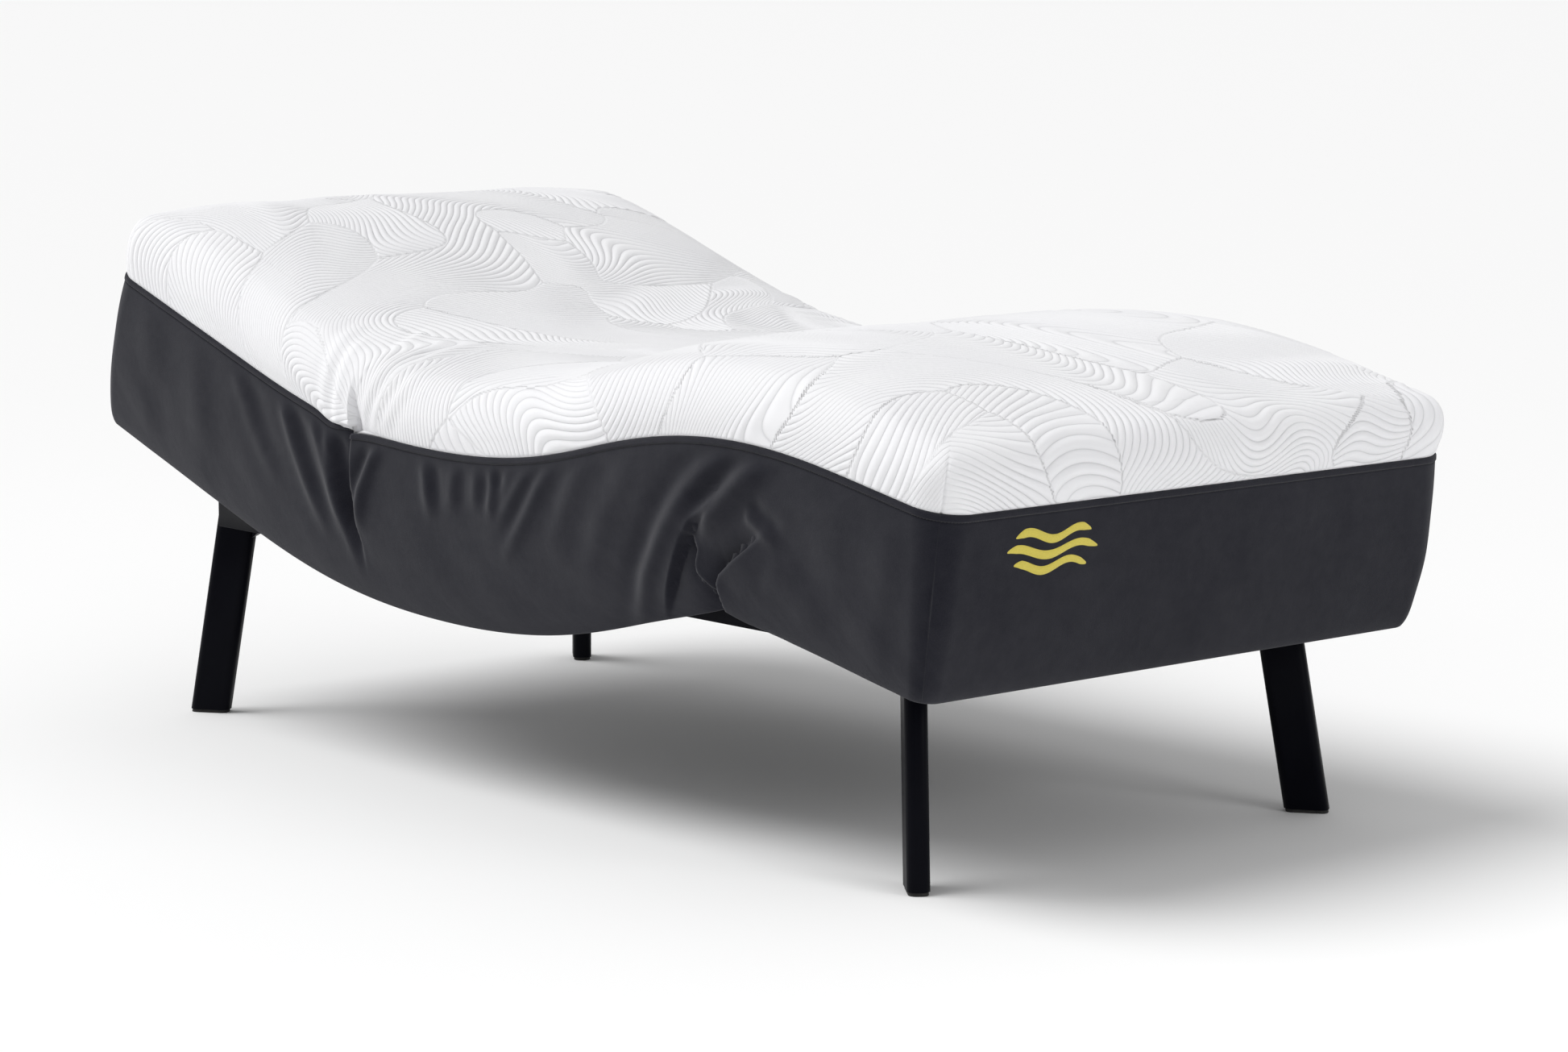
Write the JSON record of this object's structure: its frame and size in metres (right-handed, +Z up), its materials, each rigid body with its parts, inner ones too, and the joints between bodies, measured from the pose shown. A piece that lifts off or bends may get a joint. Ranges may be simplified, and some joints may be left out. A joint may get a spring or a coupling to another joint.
{
  "type": "adjustable bed base",
  "caption": "Adjustable single bed with back, thigh and foot sections that lift on two linear drives, upholstered with a white top and a dark border.",
  "frame": {"origin": "on the floor, under the middle of the bed's overall box at rest", "axes": "+Y along the bed to the head end, +X to the right as seen from the foot end, +Z up"},
  "size_m": [1.008, 2.0424, 0.8358],
  "materials": {
    "black_steel": "satin powder coat",
    "zinc_steel": "bright zinc plated",
    "aluminium": "satin anodised",
    "black_plastic": "fine grain moulded plastic",
    "rubber": "matt rubber",
    "deck_board": "board covered in dark felt",
    "border_fabric": "charcoal suede-like velvet with a short nap",
    "top_cover": "white stretch knit quilted in wavy contour lines",
    "thread": "dark sewing thread",
    "yellow_thread": "yellow embroidery thread of the plain wave emblem on the foot end"
  },
  "bodies": {
    "base_frame": {"back_drive_motor": "black_plastic", "back_drive_mount_pin": "zinc_steel", "back_drive_tube": "aluminium", "border_seat_left": "border_fabric", "border_seat_right": "border_fabric", "control_box": "black_plastic", "cross_member_back_drive": "black_steel", "cross_member_foot": "black_steel", "cross_member_head": "black_steel", "cross_member_leg_drive": "black_steel", "cross_member_middle": "black_steel", "deck_seat": "deck_board", "hinge_rod_back": "zinc_steel", "hinge_rod_thigh": "zinc_steel", "leg_bracket_foot_left": "black_steel", "leg_bracket_foot_right": "black_steel", "leg_bracket_head_left": "black_steel", "leg_bracket_head_right": "black_steel", "leg_drive_motor": "black_plastic", "leg_drive_mount_pin": "zinc_steel", "leg_drive_tube": "aluminium", "leg_foot_left": "black_steel", "leg_foot_right": "black_steel", "leg_head_left": "black_steel", "leg_head_right": "black_steel", "leg_pad_foot_left": "rubber", "leg_pad_foot_right": "rubber", "leg_pad_head_left": "rubber", "leg_pad_head_right": "rubber", "mattress_seat": "top_cover", "power_inlet": "black_plastic", "side_rail_left": "black_steel", "side_rail_right": "black_steel"},
    "back_section": {"back_lift_bar": "black_steel", "back_rail_left": "black_steel", "back_rail_right": "black_steel", "border_back_end": "border_fabric", "border_back_left": "border_fabric", "border_back_right": "border_fabric", "deck_back": "deck_board", "mattress_back": "top_cover"},
    "thigh_section": {"border_thigh_left": "border_fabric", "border_thigh_right": "border_fabric", "deck_thigh": "deck_board", "hinge_rod_knee": "zinc_steel", "mattress_thigh": "top_cover", "thigh_lift_bar": "black_steel", "thigh_rail_left": "black_steel", "thigh_rail_right": "black_steel"},
    "foot_section": {"border_foot_end": "border_fabric", "border_foot_left": "border_fabric", "border_foot_right": "border_fabric", "deck_foot": "deck_board", "foot_rail_left": "black_steel", "foot_rail_right": "black_steel", "mattress_foot": "top_cover"},
    "back_drive_ram": {"back_drive_rod": "zinc_steel", "back_drive_rod_pin": "zinc_steel"},
    "leg_drive_ram": {"leg_drive_rod": "zinc_steel", "leg_drive_rod_pin": "zinc_steel"}
  },
  "joints": [
    {"name": "back_lift", "type": "hinge", "parent": "base_frame", "child": "back_section", "pos_m": [0, 0.30048, 0.37], "axis": [1, 0, 0], "range_deg": [-18.4, 41.6]},
    {"name": "thigh_lift", "type": "hinge", "parent": "base_frame", "child": "thigh_section", "pos_m": [0, -0.13952, 0.37], "axis": [-1, 0, 0], "range_deg": [-12.5, 17.5]},
    {"name": "knee_bend", "type": "hinge", "parent": "thigh_section", "child": "foot_section", "pos_m": [0, -0.5769, 0.46696], "axis": [1, 0, 0], "range_deg": [-23.31, 32.63]},
    {"name": "back_ram_slide", "type": "slide", "parent": "base_frame", "child": "back_drive_ram", "axis": [0, 1, 0], "range_m": [-0.0345, 0.0775]},
    {"name": "leg_ram_slide", "type": "slide", "parent": "base_frame", "child": "leg_drive_ram", "axis": [0, -1, 0], "range_m": [-0.0225, 0.0315]}
  ],
  "couplings": [
    {"joint": "knee_bend", "follows": "thigh_lift", "ratio": 1.864},
    {"joint": "back_ram_slide", "follows": "back_lift", "m_per_rad": 0.1063},
    {"joint": "leg_ram_slide", "follows": "thigh_lift", "m_per_rad": 0.1016}
  ]
}
